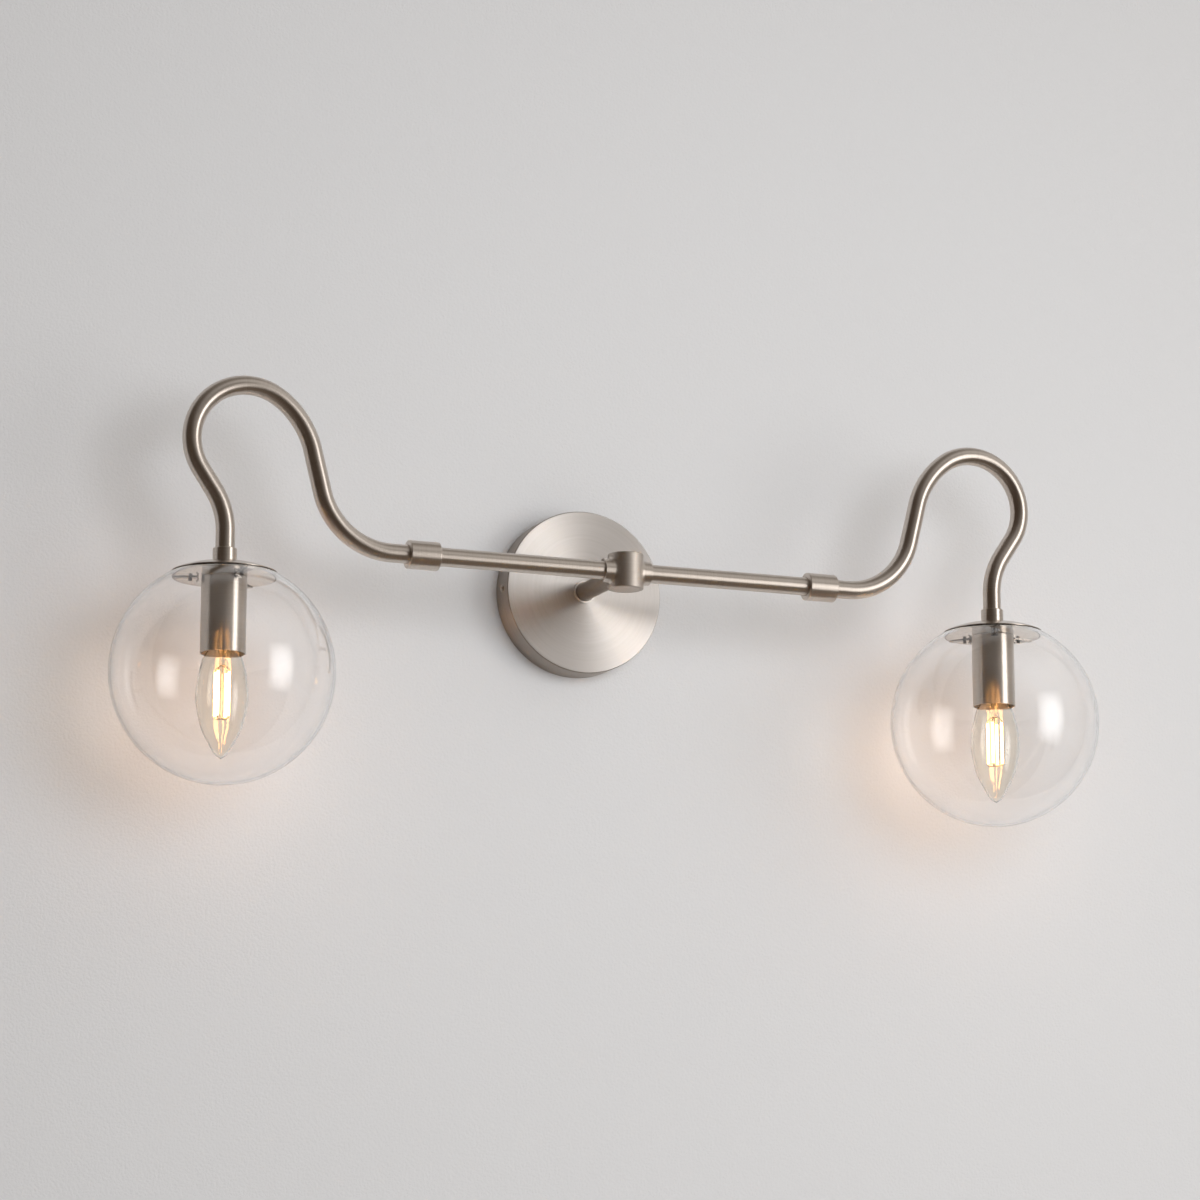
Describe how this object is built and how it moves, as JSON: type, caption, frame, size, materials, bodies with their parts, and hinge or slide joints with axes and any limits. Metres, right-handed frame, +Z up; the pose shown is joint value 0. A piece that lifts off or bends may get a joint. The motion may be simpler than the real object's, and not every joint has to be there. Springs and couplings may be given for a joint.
{
  "type": "double arm wall sconce",
  "caption": "Wall lamp: a round canopy and stem carry a straight bar whose swan-neck ends each hang a clear glass globe round a candle bulb.",
  "frame": {"origin": "centre of the canopy's open back, on the wall", "axes": "+X to the right along the wall, +Y into the wall, +Z up; the lamp stands out towards -Y"},
  "size_m": [0.7268, 0.175, 0.2783],
  "materials": {
    "satin_nickel": "satin brushed nickel plate",
    "polished_nickel": "polished nickel plate",
    "zinc_steel": "zinc plated steel",
    "brass": "plain brass",
    "clear_glass": "clear polished",
    "bulb_glass": "clear polished",
    "bulb_cap_metal": "bright",
    "black_glass": "gloss black insulator",
    "filament": "lit",
    "bulb_wire": "plain wire",
    "porcelain": "plain white porcelain",
    "lead_sheath": "matt insulated cable",
    "block_plastic": "matt moulded"
  },
  "bodies": {
    "fixing_plate": {"mounting_plate": "zinc_steel", "earth_screw": "brass"},
    "left_screw": {"left_side_screw": "satin_nickel"},
    "left_shade": {"left_globe": "clear_glass"},
    "left_lamp_bulb": {"left_bulb_glass": "bulb_glass", "left_bulb_cap": "bulb_cap_metal", "left_bulb_insulator": "black_glass", "left_bulb_pip": "brass", "left_bulb_mount": "bulb_glass", "left_bulb_wires": "bulb_wire", "left_filaments": "filament"},
    "right_screw": {"right_side_screw": "satin_nickel"},
    "right_shade": {"right_globe": "clear_glass"},
    "right_lamp_bulb": {"right_bulb_glass": "bulb_glass", "right_bulb_cap": "bulb_cap_metal", "right_bulb_insulator": "black_glass", "right_bulb_pip": "brass", "right_bulb_mount": "bulb_glass", "right_bulb_wires": "bulb_wire", "right_filaments": "filament"},
    "lamp": {"canopy": "satin_nickel", "hub": "satin_nickel", "hub_plug": "satin_nickel", "left_bar_tube": "satin_nickel", "left_cap": "satin_nickel", "left_clip_screws": "polished_nickel", "left_clips": "polished_nickel", "left_collar": "satin_nickel", "left_coupling": "satin_nickel", "left_holder_contact": "brass", "left_holder_plate": "polished_nickel", "left_holder_shell": "brass", "left_lampholder": "porcelain", "left_lead": "lead_sheath", "left_socket_cover": "satin_nickel", "left_swan_neck": "satin_nickel", "lock_nuts": "zinc_steel", "right_bar_tube": "satin_nickel", "right_cap": "satin_nickel", "right_clip_screws": "polished_nickel", "right_clips": "polished_nickel", "right_collar": "satin_nickel", "right_coupling": "satin_nickel", "right_holder_contact": "brass", "right_holder_plate": "polished_nickel", "right_holder_shell": "brass", "right_lampholder": "porcelain", "right_lead": "lead_sheath", "right_socket_cover": "satin_nickel", "right_swan_neck": "satin_nickel", "side_nuts": "zinc_steel", "socket_rods": "zinc_steel", "spacers": "zinc_steel", "stem": "satin_nickel", "stem_nut": "zinc_steel", "stem_ring": "polished_nickel", "stem_rod": "zinc_steel", "stem_washer": "zinc_steel", "terminal_block": "block_plastic"}
  },
  "joints": [
    {"name": "canopy_pull", "type": "slide", "parent": "fixing_plate", "child": "lamp", "axis": [0, -1, 0], "range_m": [0, 0.025]},
    {"name": "left_screw_out", "type": "slide", "parent": "lamp", "child": "left_screw", "axis": [-1, 0, 0], "range_m": [0, 0.003]},
    {"name": "left_globe_down", "type": "slide", "parent": "lamp", "child": "left_shade", "axis": [0, 0, -1], "range_m": [0, 0.15]},
    {"name": "left_bulb_out", "type": "slide", "parent": "lamp", "child": "left_lamp_bulb", "axis": [0, 0, -1], "range_m": [0, 0.00846]},
    {"name": "right_screw_out", "type": "slide", "parent": "lamp", "child": "right_screw", "axis": [1, 0, 0], "range_m": [0, 0.003]},
    {"name": "right_globe_down", "type": "slide", "parent": "lamp", "child": "right_shade", "axis": [0, 0, -1], "range_m": [0, 0.15]},
    {"name": "right_bulb_out", "type": "slide", "parent": "lamp", "child": "right_lamp_bulb", "axis": [0, 0, -1], "range_m": [0, 0.00846]}
  ]
}
